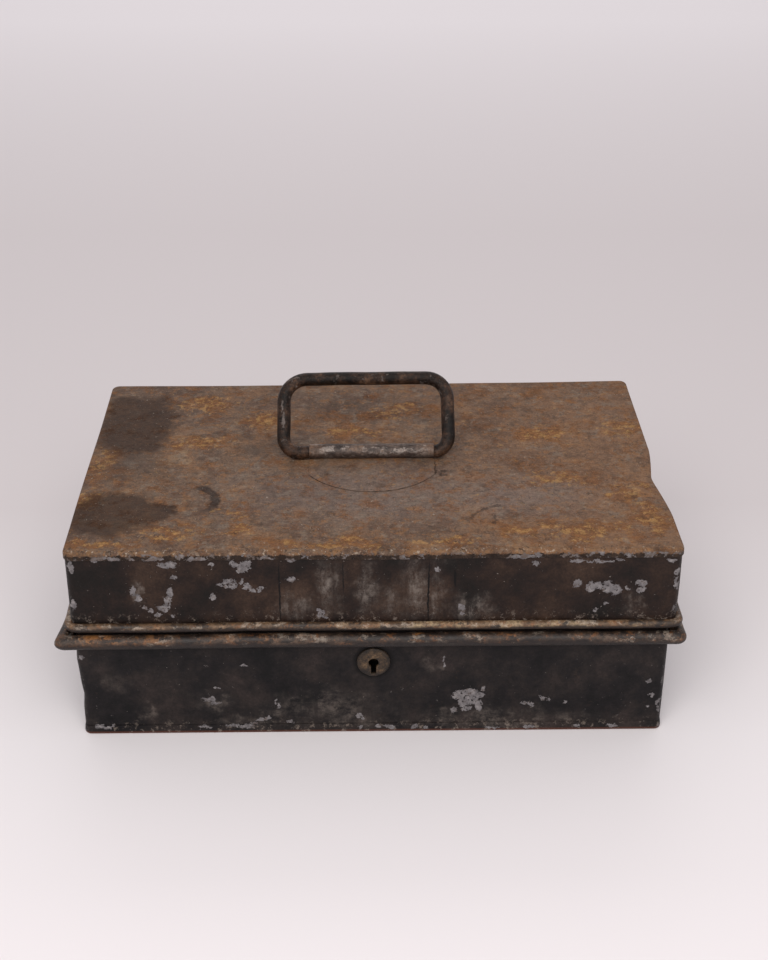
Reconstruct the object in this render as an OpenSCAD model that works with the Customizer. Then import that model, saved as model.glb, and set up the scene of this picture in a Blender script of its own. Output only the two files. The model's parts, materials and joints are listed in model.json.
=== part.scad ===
// Tin cash box: japanned tinplate body and lid, wired rims, drop handle,
// warded lock and a lift-out coin tray.
// Frame: X to the right, Y from the front to the back, Z up, origin on the
// surface the box stands on, under the middle of the body.

/* [Body] */
// Width of the body outside its walls
body_w = 290.4; // [240:0.2:340]
// Depth of the body outside its walls
body_d = 179.2; // [150:0.2:220]
// Height of the body walls, up to the top of the neck that the lid covers
neck_top = 76; // [70:1:84]
// Thickness of the tinplate in the walls
sheet = 0.7; // [0.5:0.1:0.9]
// Radius of the upright corners of the body and the lid
corner_r = 3; // [2:0.5:5]
// Thickness of the seamed top and bottom panels
panel = 0.6; // [0.4:0.1:0.8]
// Height of the folded seam round the bottom panel
bottom_lip = 5; // [3:0.5:7]

/* [Rim of the body] */
// Height of the middle of the rim bead
rim_z = 58.3; // [54:0.1:59]
// Outer radius of the rim bead
rim_r = 3.45; // [3:0.05:3.6]
// Height of the strip that solders the rim bead to the wall
rim_strip = 8; // [7:0.5:9]

/* [Lid] */
// Overall height, to the top of the lid
lid_top_z = 108.1; // [104:0.1:120]
// How far the lid walls stand outside the body walls
lid_step = 1.4; // [1.2:0.1:2.2]
// Height of the middle of the bead on the lid's lower edge
lid_bead_z = 66.5; // [66:0.1:67]
// Outer radius of the lid bead
lid_bead_r = 2.2; // [2:0.1:2.4]
// Height of the folded seam round the lid panel
lid_lip = 4.7; // [3:0.1:6]

/* [Handle] */
// Diameter of the handle rod
rod = 6.35; // [5:0.05:7]
// Width of the handle, outside
handle_w = 92; // [84:1:100]
// Reach of the handle, from the middle of its pivot to the middle of its grip
handle_reach = 39.5; // [38.5:0.5:46]
// Lean of the handle towards the back, from upright
handle_lean = 39; // [0:1:50]
// How far the handle has slid to the right in its knuckle
handle_shift = -2.6; // [-2.6:0.1:2.6]
// Bend radius at the grip's left end
bend_left = 13; // [9:1:14]
// Bend radius at the grip's right end
bend_right = 10; // [9:1:14]
// Bend radius at the lower corners
bend_low = 7.5; // [6:0.5:9]
// Width of the handle plate and its knuckle
plate_w = 64.8; // [56:0.2:68]
// Reach of the handle plate in front of the knuckle
plate_reach = 36.5; // [28:0.5:36.5]

/* [Hinges] */
// Distance of each hinge from the middle of the box
hinge_x = 88; // [60:1:110]
// Width of each hinge
hinge_w = 32; // [26:1:40]
// Radius of a hinge knuckle
knuckle_r = 2.2; // [2:0.1:2.4]

/* [Lock] */
// Height of the middle of the keyhole
keyhole_z = 43; // [42:0.5:44]
// Radius of the round part of the keyhole
keyhole_r = 2.6; // [2.4:0.1:3]
// Width of the keyhole's slot
key_slot = 2.5; // [2:0.1:3]
// Drop of the keyhole's slot below its round part's middle
key_drop = 6.4; // [5:0.1:7]
// Diameter of the escutcheon
escutcheon_w = 16.6; // [14:0.2:17]
// Width of the lock case
case_w = 46; // [44:1:50]
// Travel of the bolt
bolt_throw = 4.5; // [4:0.25:4.75]

/* [Tray] */
// Width of the tray outside its walls
tray_w = 281; // [270:1:283]
// Height of the tray's top edge
tray_top = 74; // [72:1:75]
// Depth of the tray, top edge to underside
tray_h = 26; // [22:1:27]
// Front-to-back length of the coin wells
well_d = 75; // [60:1:80]

/* [Hidden] */

$fn = 48;
gap = 0.05;             // working clearance between pieces that are soldered or folded together
cut = 1;                // how far a cutting shape runs past what it cuts

front_in = -body_d / 2 + sheet;         // inner face of the body's front wall
lid_w = body_w + 2 * lid_step;          // lid outside its walls
lid_d = body_d + 2 * lid_step;
lid_rear = lid_d / 2;
bead_out = lid_bead_r - sheet - 0.1;    // the bead's middle, outside the lid wall's outer face
rim_out = rim_r + 0.4;                  // the rim bead's middle, outside the body wall
rim_corner = rim_r + 0.2;               // the rim bead's middle turns the corners this tightly
rim_wire_r = rim_r - sheet - gap;
lid_wire_r = lid_bead_r - sheet - gap;

knuckle_in = rod / 2 + 0.08;            // bore of the handle knuckle
knuckle_out = knuckle_in + 0.8;
knuckle_y = 1.6;                        // the handle's pivot line
knuckle_z = lid_top_z + knuckle_out + 0.1;

hinge_y = body_d / 2 + 10;              // the lid's pivot line
hinge_z = 62.6;
leaf = 0.9;                             // thickness of a hinge leaf
leaf_y = hinge_y - knuckle_r + 0.1;     // front face of the leaves' upright parts
middle_w = 12;                          // the lid leaf's knuckle, between the body leaf's two
rivet_r = 1.25;
rivet_x = 9;
body_rivet_z = 38;
lid_rivet_z = 83;

case_back = front_in + 8.5;             // inner face of the lock case's back
case_bottom = 31;
case_top = 65;
bolt_y = front_in + 2.7;                // front face of the bolt
bolt_t = 2.5;
bolt_low = 51;
bolt_high = 57;
tongue_x = 10;
tongue_t = 2;
stud = [-10, 54];                       // the bolt's guide stud, X and Z

tray_front = -86;
tray_back = 86.4;
tray_d = tray_back - tray_front;
tray_mid = (tray_front + tray_back) / 2;
notch_w = 55.4;                         // the tray steps back here to clear the lock
notch_d = 11.5;
tray_floor_z = tray_top - tray_h;
divider_y = tray_front + well_d;
divider_top = tray_top - 2;
well_pitch = (tray_w - panel) / 5;

black = [0.13, 0.12, 0.12];
rusty = [0.36, 0.28, 0.2];
steel = [0.42, 0.41, 0.4];
brass = [0.5, 0.4, 0.28];
lining = [0.5, 0.18, 0.12];

// ---- shared shapes ----

// A rounded rectangle about the origin
module rounded(w, d, r) {
    square([w - 2 * r, d], center = true);
    square([w, d - 2 * r], center = true);
    for (x = [-1, 1], y = [-1, 1])
        translate([x * (w / 2 - r), y * (d / 2 - r)]) circle(r);
}

// A band of sheet t thick, w by d outside
module band(w, d, r, t) {
    difference() {
        rounded(w, d, r);
        rounded(w - 2 * t, d - 2 * t, r - t);
    }
}

// Carries a profile round a rounded rectangle. The profile's X points outwards and its Y up.
module carry_round(w, d, r) {
    for (k = [0:3]) {
        across = k % 2 == 0 ? w : d;
        along = k % 2 == 0 ? d : w;
        rotate(90 * k) {
            translate([across / 2, along / 2 - r, 0])
                rotate([90, 0, 0]) linear_extrude(along - 2 * r) children();
            translate([across / 2 - r, along / 2 - r, 0])
                rotate_extrude(angle = 90) translate([r, 0]) children();
        }
    }
}

// A bar along X, from its left end
module bar_x(r, length) {
    rotate([0, 90, 0]) cylinder(r = r, h = length);
}

// A bar along Y, towards the back
module bar_y(r, length) {
    rotate([-90, 0, 0]) cylinder(r = r, h = length);
}

// The keyhole as a solid along Y, about the middle of its round part
module keyhole_cutter(length) {
    bar_y(keyhole_r, length);
    translate([-key_slot / 2, 0, -key_drop]) cube([key_slot, length, key_drop]);
}

// Places a child at each rivet of the two hinges
module at_rivets(z) {
    for (side = [-1, 1], x = [-1, 1])
        translate([side * hinge_x + x * rivet_x, 0, z]) children();
}

// A rivet along Y through a wall. y0 is the wall's inner face, grip the metal it holds.
module rivet(y0, grip) {
    translate([0, y0 - 0.8, 0]) bar_y(2.2, 0.8);
    translate([0, y0, 0]) bar_y(rivet_r - gap, grip);
    translate([0, y0 + grip, 0])
        rotate([-90, 0, 0]) cylinder(r1 = 2.6, r2 = 1.6, h = 1.2);
}

// ---- body ----

module body_walls() {
    color(black) difference() {
        translate([0, 0, panel]) linear_extrude(neck_top - panel)
            band(body_w, body_d, corner_r, sheet);
        translate([0, -body_d / 2 - cut, keyhole_z]) keyhole_cutter(sheet + 2 * cut);
        at_rivets(body_rivet_z)
            translate([0, body_d / 2 - sheet - cut, 0]) bar_y(rivet_r, sheet + 2 * cut);
    }
}

module bottom_panel() {
    lip_w = body_w + 2 * (panel + gap);
    lip_d = body_d + 2 * (panel + gap);
    lip_r = corner_r + panel + gap;
    color(black) {
        linear_extrude(panel) rounded(lip_w, lip_d, lip_r);
        linear_extrude(bottom_lip) band(lip_w, lip_d, lip_r, panel);
    }
}

// Carries a profile round the body, at the middle of the rim bead
module carry_rim() {
    translate([0, 0, rim_z]) carry_round(body_w + 2 * rim_out, body_d + 2 * rim_out, rim_corner)
        children();
}

module rim_bead() {
    strip = 0.6;
    color(rusty) difference() {
        union() {
            carry_rim() circle(rim_r);
            translate([0, 0, rim_z + 1.8 - rim_strip]) linear_extrude(rim_strip)
                band(body_w + 2 * (gap + strip), body_d + 2 * (gap + strip),
                    corner_r + gap + strip, strip);
        }
        carry_rim() circle(rim_r - sheet);
    }
}

module rim_wire() {
    color(steel) carry_rim() circle(rim_wire_r);
}

module tray_ledge(side) {
    wall_x = body_w / 2 - sheet;
    color(black) for (flange = [[0.8, 8], [6, 0.8]])
        translate([side > 0 ? wall_x - flange[0] : -wall_x, -78, tray_floor_z - flange[1]])
            cube([flange[0], 156, flange[1]]);
}

module tray_ledge_left() { tray_ledge(-1); }

module tray_ledge_right() { tray_ledge(1); }

// ---- lock ----

module escutcheon() {
    radius = escutcheon_w / 2;
    color(brass) translate([0, -body_d / 2, keyhole_z]) difference() {
        rotate([90, 0, 0]) {
            cylinder(r = radius, h = 0.7);
            translate([0, 0, 0.7]) cylinder(r1 = radius, r2 = radius - 1.4, h = 0.7);
        }
        translate([0, -1.4 - cut, 0]) keyhole_cutter(1.4 + 2 * cut);
    }
}

module lock_case() {
    depth = case_back + 1 - front_in;
    color(steel) translate([0, front_in, 0]) difference() {
        translate([-case_w / 2, 0, case_bottom])
            cube([case_w, depth, case_top - case_bottom]);
        translate([1 - case_w / 2, -cut, case_bottom + 1])
            cube([case_w - 2, depth - 1 + cut, case_top - case_bottom - 2]);
        translate([tongue_x - 1.5, -cut, case_top - 1 - cut])
            cube([tongue_t + 3, depth - 1 + cut, 1 + 2 * cut]);
    }
}

module drill_pin() {
    color(steel) translate([0, front_in + 0.5, keyhole_z])
        bar_y(1.1, case_back - front_in - 0.5);
}

module guide_stud() {
    color(steel) translate([stud[0], bolt_y - 0.4, stud[1]])
        bar_y(1.5, case_back - bolt_y + 0.4);
}

module lock_ward() {
    color(brass) translate([0, case_back - 2, keyhole_z]) rotate([-90, 0, 0])
        linear_extrude(2) difference() {
            circle(4.6);
            circle(3.9);
        }
}

module bolt_spring() {
    left = 1 - case_w / 2;
    under = bolt_high + 0.1;
    color(steel) translate([0, bolt_y + bolt_t, 0]) rotate([90, 0, 0])
        linear_extrude(bolt_t) polygon([[left, under + 5.5], [left, under + 6], [left + 5, under + 6],
            [-5, under + 0.4], [4, under + 1.5], [4, under + 1.1], [-5, under],
            [left + 4.8, under + 5.5]]);
}

module lock_bolt() {
    tail = 20;
    color(brass) translate([0, bolt_y + bolt_t, 0]) rotate([90, 0, 0]) linear_extrude(bolt_t)
        difference() {
            union() {
                translate([-tail, bolt_low]) square([tail + 8, bolt_high - bolt_low]);
                translate([-tail, 46.9]) square([tail + 5, 5]);
            }
            translate([-3.2, 46.9 - cut]) square([6.4, 3.1 + cut]);
            for (x = [stud[0] - bolt_throw, stud[0]]) translate([x, stud[1]]) circle(1.7);
            translate([stud[0] - bolt_throw, stud[1] - 1.7]) square([bolt_throw, 3.4]);
        }
}

// ---- hinges ----

// A cranked leaf about the hinge's middle: an upright part behind the bead, a step in
// to the wall and a pad on it. up is 1 for the lid and -1 for the body.
module hinge_leaf(side, up, wall_y, step_z, pad_end, rivet_z) {
    clear = knuckle_r + 0.6;
    low = min(step_z, hinge_z + up * clear);
    high = max(step_z, hinge_z + up * clear);
    barrels = up > 0 ? [[-middle_w / 2, middle_w]]
        : [[-hinge_w / 2, (hinge_w - middle_w) / 2 - 0.2],
           [middle_w / 2 + 0.2, (hinge_w - middle_w) / 2 - 0.2]];
    color(black) translate([side * hinge_x, 0, 0]) difference() {
        union() {
            translate([-hinge_w / 2, leaf_y, low]) cube([hinge_w, leaf, high - low]);
            for (b = barrels) {
                translate([b[0], leaf_y, min(hinge_z, hinge_z + up * clear)])
                    cube([b[1], leaf, clear]);
                translate([b[0], hinge_y, hinge_z]) bar_x(knuckle_r, b[1]);
            }
            translate([-hinge_w / 2, wall_y, step_z - (up > 0 ? 0 : leaf)])
                cube([hinge_w, leaf_y + leaf - wall_y, leaf]);
            translate([-hinge_w / 2, wall_y, min(step_z, pad_end)])
                cube([hinge_w, leaf, abs(pad_end - step_z)]);
        }
        translate([-hinge_w / 2 - cut, hinge_y, hinge_z]) bar_x(1.25, hinge_w + 2 * cut);
        for (x = [-rivet_x, rivet_x])
            translate([x, wall_y - cut, rivet_z]) bar_y(rivet_r, leaf + 2 * cut);
    }
}

module hinge_body_leaf(side) {
    hinge_leaf(side, -1, body_d / 2, rim_z - 6.8, 30, body_rivet_z);
}

module hinge_body_leaf_left() { hinge_body_leaf(-1); }

module hinge_body_leaf_right() { hinge_body_leaf(1); }

module hinge_lid_leaf(side) {
    hinge_leaf(side, 1, lid_rear, lid_bead_z + lid_bead_r + 1, 92, lid_rivet_z);
}

module hinge_lid_leaf_left() { hinge_lid_leaf(-1); }

module hinge_lid_leaf_right() { hinge_lid_leaf(1); }

module hinge_pin(side) {
    length = hinge_w + 1.6;
    color(steel) translate([side * hinge_x - length / 2, hinge_y, hinge_z])
        bar_x(1.2, length);
}

module hinge_pin_left() { hinge_pin(-1); }

module hinge_pin_right() { hinge_pin(1); }

module hinge_body_rivets() {
    color(steel) at_rivets(body_rivet_z) rivet(body_d / 2 - sheet, sheet + leaf);
}

module hinge_lid_rivets() {
    color(steel) at_rivets(lid_rivet_z) rivet(lid_rear - sheet, sheet + leaf);
}

// ---- lid ----

// The lid's wall, with its lower edge rolled outwards round the wire
module lid_walls() {
    inner = -bead_out - sheet;
    color(black) difference() {
        translate([0, 0, lid_bead_z])
            carry_round(lid_w + 2 * bead_out, lid_d + 2 * bead_out, corner_r + bead_out)
                difference() {
                    union() {
                        circle(lid_bead_r);
                        translate([inner, 0])
                            square([sheet, lid_top_z - panel - lid_bead_z]);
                    }
                    circle(lid_bead_r - sheet);
                }
        at_rivets(lid_rivet_z)
            translate([0, lid_rear - sheet - cut, 0]) bar_y(rivet_r, sheet + 2 * cut);
    }
}

module lid_wire() {
    color(steel) translate([0, 0, lid_bead_z])
        carry_round(lid_w + 2 * bead_out, lid_d + 2 * bead_out, corner_r + bead_out)
            circle(lid_wire_r);
}

module lid_panel() {
    lip_w = lid_w + 2 * (panel + gap);
    lip_d = lid_d + 2 * (panel + gap);
    lip_r = corner_r + panel + gap;
    color(rusty) {
        translate([0, 0, lid_top_z - panel]) linear_extrude(panel) rounded(lip_w, lip_d, lip_r);
        translate([0, 0, lid_top_z - lid_lip]) linear_extrude(lid_lip)
            band(lip_w, lip_d, lip_r, panel);
    }
}

module handle_plate() {
    arc_r = 38;
    color(steel) {
        translate([0, 0, lid_top_z]) linear_extrude(0.8) intersection() {
            translate([-plate_w / 2, knuckle_y - plate_reach - cut])
                square([plate_w, plate_reach + cut]);
            translate([0, knuckle_y - plate_reach + arc_r]) circle(arc_r);
        }
        translate([-plate_w / 2, knuckle_y, knuckle_z]) difference() {
            bar_x(knuckle_out, plate_w);
            translate([-cut, 0, 0]) bar_x(knuckle_in, plate_w + 2 * cut);
        }
    }
}

module lid_staple() {
    wall = -lid_d / 2 + sheet;
    shelf_z = neck_top + 4;
    tongue_y = front_in + 1.1;
    tongue_d = 6.1;
    tongue_low = 47.5;
    color(steel) {
        translate([-18, wall, shelf_z]) cube([36, 1, 18]);
        translate([-18, wall, shelf_z]) cube([36, tongue_y + tongue_d - wall, 1.5]);
        difference() {
            translate([tongue_x, tongue_y, tongue_low])
                cube([tongue_t, tongue_d, shelf_z - tongue_low]);
            translate([tongue_x - cut, bolt_y - 0.3, bolt_low - 0.5])
                cube([tongue_t + 2 * cut, bolt_t + 0.6, bolt_high - bolt_low + 1]);
        }
    }
}

// ---- handle ----

// One bend of the rod, about its centre, from the angle a over 90 degrees in the XZ plane
module rod_bend(radius, a) {
    rotate([90, 0, 0]) rotate(a) rotate_extrude(angle = 90) translate([radius, 0])
        circle(rod / 2);
}

module carry_handle() {
    half = (handle_w - rod) / 2;
    tip = 8;
    color(black) translate([handle_shift, knuckle_y, knuckle_z]) rotate([-handle_lean, 0, 0]) {
        for (side = [-1, 1]) {
            top_bend = side < 0 ? bend_left : bend_right;
            translate([side > 0 ? tip : -half + bend_low, 0, 0])
                bar_x(rod / 2, half - bend_low - tip);
            translate([side * (half - bend_low), 0, bend_low])
                rod_bend(bend_low, side > 0 ? 270 : 180);
            translate([side * half, 0, bend_low])
                cylinder(r = rod / 2, h = handle_reach - top_bend - bend_low);
            translate([side * (half - top_bend), 0, handle_reach - top_bend])
                rod_bend(top_bend, side > 0 ? 0 : 90);
        }
        translate([-half + bend_left, 0, handle_reach])
            bar_x(rod / 2, 2 * half - bend_left - bend_right);
    }
}

// ---- tray ----

// The tray's outline, grown outwards
module tray_plan(grow) {
    difference() {
        translate([0, tray_mid]) rounded(tray_w + 2 * grow, tray_d + 2 * grow, 4 + grow);
        translate([-notch_w / 2 + grow, tray_front - grow - cut])
            square([notch_w - 2 * grow, notch_d + cut]);
    }
}

module tray_floor() {
    color(lining) translate([0, 0, tray_floor_z]) linear_extrude(panel) tray_plan(0);
}

module tray_walls() {
    hem = 3;
    color(lining) {
        translate([0, 0, tray_floor_z + panel]) linear_extrude(tray_h - panel) difference() {
            tray_plan(0);
            tray_plan(-panel);
        }
        translate([0, 0, tray_top - hem]) linear_extrude(hem) difference() {
            tray_plan(panel);
            tray_plan(-panel);
        }
    }
}

module tray_long_divider() {
    length = tray_w - 2 * panel;
    color(lining) difference() {
        translate([-length / 2, divider_y, tray_floor_z + panel])
            cube([length, panel, divider_top - tray_floor_z - panel]);
        for (x = [-1, 1]) translate([x * well_pitch, divider_y - cut, divider_top - 11])
            bar_y(8, panel + 2 * cut);
    }
}

module tray_cross_dividers() {
    color(lining) for (k = [-1.5, -0.5, 0.5, 1.5]) {
        start = tray_front + (abs(k) < 1 ? notch_d + panel : panel);
        translate([k * well_pitch - panel / 2, start, tray_floor_z + panel])
            cube([panel, divider_y - start, divider_top - tray_floor_z - panel]);
    }
}

body_walls();
bottom_panel();
rim_bead();
rim_wire();
escutcheon();
lock_case();
drill_pin();
guide_stud();
lock_ward();
bolt_spring();
tray_ledge_left();
tray_ledge_right();
hinge_body_leaf_left();
hinge_body_leaf_right();
hinge_pin_left();
hinge_pin_right();
hinge_body_rivets();
lock_bolt();
lid_walls();
lid_wire();
lid_panel();
handle_plate();
lid_staple();
hinge_lid_leaf_left();
hinge_lid_leaf_right();
hinge_lid_rivets();
carry_handle();
tray_floor();
tray_walls();
tray_long_divider();
tray_cross_dividers();
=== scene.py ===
import json
import math

import bmesh
import bpy
from mathutils import Matrix, Vector, noise


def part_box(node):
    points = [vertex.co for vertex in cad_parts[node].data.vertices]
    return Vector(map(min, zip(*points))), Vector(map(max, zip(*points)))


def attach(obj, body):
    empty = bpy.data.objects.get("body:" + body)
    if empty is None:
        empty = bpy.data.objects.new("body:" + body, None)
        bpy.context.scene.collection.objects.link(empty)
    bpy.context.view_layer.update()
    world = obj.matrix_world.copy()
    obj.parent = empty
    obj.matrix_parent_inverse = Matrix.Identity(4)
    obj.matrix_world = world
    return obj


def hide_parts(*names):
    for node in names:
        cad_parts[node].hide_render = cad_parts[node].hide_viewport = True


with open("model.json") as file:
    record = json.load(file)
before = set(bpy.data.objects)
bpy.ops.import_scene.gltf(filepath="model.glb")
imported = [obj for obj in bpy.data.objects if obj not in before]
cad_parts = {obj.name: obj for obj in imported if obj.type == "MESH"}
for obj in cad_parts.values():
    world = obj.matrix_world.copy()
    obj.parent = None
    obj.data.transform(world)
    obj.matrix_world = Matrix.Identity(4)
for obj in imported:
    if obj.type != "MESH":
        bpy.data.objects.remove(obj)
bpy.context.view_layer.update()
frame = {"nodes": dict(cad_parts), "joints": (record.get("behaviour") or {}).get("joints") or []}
mm = 0.001
noise.seed_set(1)    # so that the waves in the sheet come out the same in every run
print("frame loaded:", len(frame["nodes"]), "nodes")


def hexColor(text):
    parts = [int(text[k:k + 2], 16) / 255 for k in (0, 2, 4)]
    return tuple(p / 12.92 if p <= 0.04045 else ((p + 0.055) / 1.055) ** 2.4 for p in parts) + (1.0,)


def feed(tree, node, sockets):
    for key, value in sockets.items():
        if isinstance(value, bpy.types.NodeSocket):
            tree.links.new(value, node.inputs[key])
        else:
            node.inputs[key].default_value = value


def add(tree, kind, settings=None, sockets=None, out=0):
    made = tree.nodes.new("ShaderNode" + kind)
    for name, value in (settings or {}).items():
        setattr(made, name, value)
    feed(tree, made, sockets or {})
    return made.outputs[out]


def newFinish(name):
    finish = bpy.data.materials.new(name)
    finish.use_nodes = True
    tree = finish.node_tree
    place = add(tree, "TexCoord", out="Object")
    point = add(tree, "VectorMath", {"operation": "SCALE"}, {0: place, "Scale": 1000.0})   # millimetres
    return finish, tree, point


def filled(finish, colour, gloss, height, depth, specular=0.5, metal=0.0):
    # fills in the shader, with a relief that many mm deep
    tree = finish.node_tree
    bump = add(tree, "Bump", {}, {"Height": height, "Distance": depth * mm}, "Normal")
    feed(tree, tree.nodes["Principled BSDF"], {
        "Base Color": colour, "Roughness": gloss, "Specular IOR Level": specular, "Metallic": metal,
        "Normal": bump})
    return finish


def span(node, axis):
    low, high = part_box(node)
    return low[axis], high[axis]


frontOfLid = {"axis": "y", "at": -91.3}
frontOfBody = {"axis": "y", "at": -89.6}
topOfLid = {"axis": "z", "at": 108.0}

# where the tin shows on the front of the lid: across, up, width, height in mm
lidFlakes = [
    (-143.5, 100, 3, 8.5), (-144.5, 78.5, 3, 5.5), (-132, 104, 3.5, 3), (-123, 104.5, 8, 2),
    (-104.5, 104, 10, 2.5), (-98, 100.5, 9, 3.4), (-95.5, 93.5, 2.8, 3.2), (-115, 86, 3.2, 6),
    (-112.5, 82, 3, 4), (-97, 85, 3.2, 6), (-99, 80.5, 4.5, 6), (-101, 76, 5.5, 4.5),
    (-104, 72.5, 3.5, 2), (-97, 72, 2.5, 2), (-110, 77, 3, 2.5), (-107.5, 75, 3, 2),
    (-84, 104, 8.5, 2.2), (-77, 100.5, 3, 1.8), (-66, 100.5, 4, 3), (-62, 98.5, 6, 6),
    (-59.5, 101.5, 4, 3), (-69, 91, 6, 3), (-72.5, 88.8, 6, 2.6), (-67, 88.6, 4, 2.4),
    (-63, 90.5, 2.5, 3.4), (-60, 87.6, 5, 3.6), (-57.5, 86, 2.6, 2), (-54, 86.5, 2.8, 3),
    (-77, 82.5, 4.4, 3.6), (-39.5, 92, 4.5, 3), (-50, 104.5, 3, 1.8), (-39.5, 103, 4.5, 1.6),
    (-26.5, 74.5, 2.4, 2), (-24.5, 72.5, 3.4, 3.4), (-22.5, 70.5, 2.2, 2), (30.5, 97, 2.5, 3.5),
    (42.5, 75.5, 3.6, 2.8), (43.5, 72.5, 2.2, 3.4), (77.5, 100, 4, 2.5), (71.5, 104.5, 19, 2),
    (97, 101.4, 9, 1.6), (108, 101, 12, 1.5), (118, 101.6, 5, 1.4), (97.5, 88.5, 4.5, 4.2),
    (104.5, 86.5, 5, 6.5), (108, 87.5, 4, 5), (112.5, 86.5, 4.5, 6.5), (116.5, 85.5, 5.5, 6),
    (128.5, 88.5, 4.4, 4), (128.5, 85, 3.6, 3), (122.5, 86, 2.2, 1.6), (112, 77, 2.6, 2),
    (107.5, 73.5, 2.5, 2.5), (142, 101.5, 4.5, 2.5), (145.5, 95, 2.6, 5), (145, 89, 2.4, 6)]
lidScuffs = [
    (31, 87, 8, 36), (31, 80, 6, 26), (18.5, 86, 15, 34), (41, 76, 8, 16), (-21, 88, 13, 26),
    (-3.5, 86, 11, 26), (-38, 77, 15, 18), (125.5, 77, 8, 16), (-113, 85, 5, 14), (8, 80, 12, 16),
    (51, 75, 12, 12)]
lidDirt = [
    (26.4, 84, 0.9, 34), (-45, 84, 0.8, 34), (39, 92, 1.2, 10), (-14.5, 93, 0.5, 18)]
bodyFlakes = [
    (-144, 47, 3, 3.5), (-82, 20.5, 7, 2.2), (-79, 18.5, 6, 2), (-77.5, 28, 2.8, 1.5),
    (-138, 4.6, 5, 2.2), (-133.5, 4, 5, 1.8), (-131, 5, 2, 1.6), (-71, 4.4, 7, 1.8), (-64, 3.8, 8, 2),
    (-60, 5.6, 4, 1.6), (-56.5, 8, 5, 1.8), (-53, 9, 3, 1.6), (-86, 3.8, 5, 1.8), (-82.5, 3.4, 3, 1.4),
    (-42, 6.5, 3.4, 1.8), (-7.5, 9.5, 2.8, 2.4), (-5.5, 8, 1.6, 1.6), (-6.5, 3, 2.4, 2),
    (-64, 41, 2.6, 1.4), (2, 3.2, 3, 1.8), (7, 3.4, 4, 1.8), (43, 22, 7, 6), (48, 23.5, 7, 5),
    (53, 22, 5, 4), (44.5, 17.5, 5, 5), (49, 18.5, 7, 6), (52.5, 15.5, 4, 6), (46.5, 13.5, 5, 3.4),
    (40.5, 12.5, 3, 3), (55, 25.5, 3, 2), (75.5, 17, 3.4, 2.4), (79, 16, 3.4, 2.6), (85, 19.8, 3, 2.2),
    (87.5, 18.6, 2, 1.6), (96, 17, 1.8, 1.4), (137, 30, 3, 2), (139, 21.5, 2.8, 1.8), (143, 17, 2, 4.5),
    (143.5, 12.5, 1.8, 3), (138, 14, 2, 1.8), (21, 3, 4, 1.8), (26, 2.6, 3, 1.4), (9, 3, 3, 1.6),
    (79, 2.5, 5.5, 1.8), (59.5, 2, 8, 1.3), (34.3, 44.5, 1.2, 4), (34.8, 40.5, 1.2, 3.4),
    (-48.6, 19, 0.9, 3.6), (-47.6, 16, 1, 3.4), (103, 3, 4, 1.4), (121, 2.6, 6, 1.4)]
bodyScuffs = [
    (-81, 19, 20, 12), (-113, 14, 10, 7), (-127, 31, 11, 9), (29, 40, 10, 8), (-62, 6, 30, 8),
    (-47, 12, 14, 10), (-10, 7, 26, 10), (-22, 15, 60, 20), (62, 8, 90, 12)]
# soaked nearly black
topStains = [(-127, 40, 44, 78), (-128, -56, 48, 46), (-109, -53, 28, 20), (-133, 62, 28, 34)]
topTints = [(16, 15, 60, 10), (-60, 15, 26, 22), (-122, -8, 40, 36)]
topRust = [
    (-141, -3, 18, 28), (-143, -40, 10, 26), (-95, 66, 38, 20), (-68, -56, 22, 12), (-99, -74, 36, 14),
    (-130, -84, 30, 10), (-58, 45, 24, 20), (-9, 32, 36, 12), (-64, -72, 18, 10), (92, 27, 36, 16),
    (134, 32, 22, 24), (102, -75, 44, 18), (69, -74, 22, 12), (130, -36, 22, 22), (96, -23, 36, 14),
    (13, 56, 32, 22), (137, -61, 16, 34), (-20, -84, 60, 8), (36, -84, 40, 8), (-90, 20, 30, 16)]


def patches(tree, point, size, low, high, detail=7.0, rough=0.7):
    # cloudy patches about that many mm across: 0 below low, 1 above high
    cloud = add(tree, "TexNoise", {}, {"Vector": point, "Scale": 1 / size, "Detail": detail,
                                       "Roughness": rough})
    return add(tree, "MapRange", {"interpolation_type": "SMOOTHSTEP"},
               {"Value": cloud, "From Min": low, "From Max": high})


def denser(tree, point, size, zone, lift, low, high):
    # patches with crisp edges that crowd together where the zone is 1
    cloud = add(tree, "TexNoise", {}, {"Vector": point, "Scale": 1 / size, "Detail": 9.0,
                                       "Roughness": 0.74})
    raised = add(tree, "Math", {"operation": "MULTIPLY_ADD"}, {0: zone, 1: lift, 2: cloud})
    return add(tree, "MapRange", {}, {"Value": raised, "From Min": low, "From Max": high})


def coat(tree, base, mask, tone, strength=1.0):
    # lays a colour over the base where the mask is 1
    amount = add(tree, "Math", {"operation": "MULTIPLY"}, {0: mask, 1: strength})
    tone = hexColor(tone) if isinstance(tone, str) else tone
    return add(tree, "Mix", {"data_type": "RGBA"}, {0: amount, 6: base, 7: tone}, 2)


def shades(tree, value, steps):
    # from the first colour to the last as the value climbs past each level
    base = hexColor(steps[0][1])
    for (level, _), (nextLevel, tone) in zip(steps, steps[1:]):
        part = add(tree, "MapRange", {}, {"Value": value, "From Min": level, "From Max": nextLevel})
        base = coat(tree, base, part, tone)
    return base


def mottled(tree, point, size, detail, rough, steps):
    # a cloudy mix of tones about that many mm across
    cloud = add(tree, "TexNoise", {}, {"Vector": point, "Scale": 1 / size, "Detail": detail,
                                       "Roughness": rough})
    return shades(tree, cloud, steps)


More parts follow.
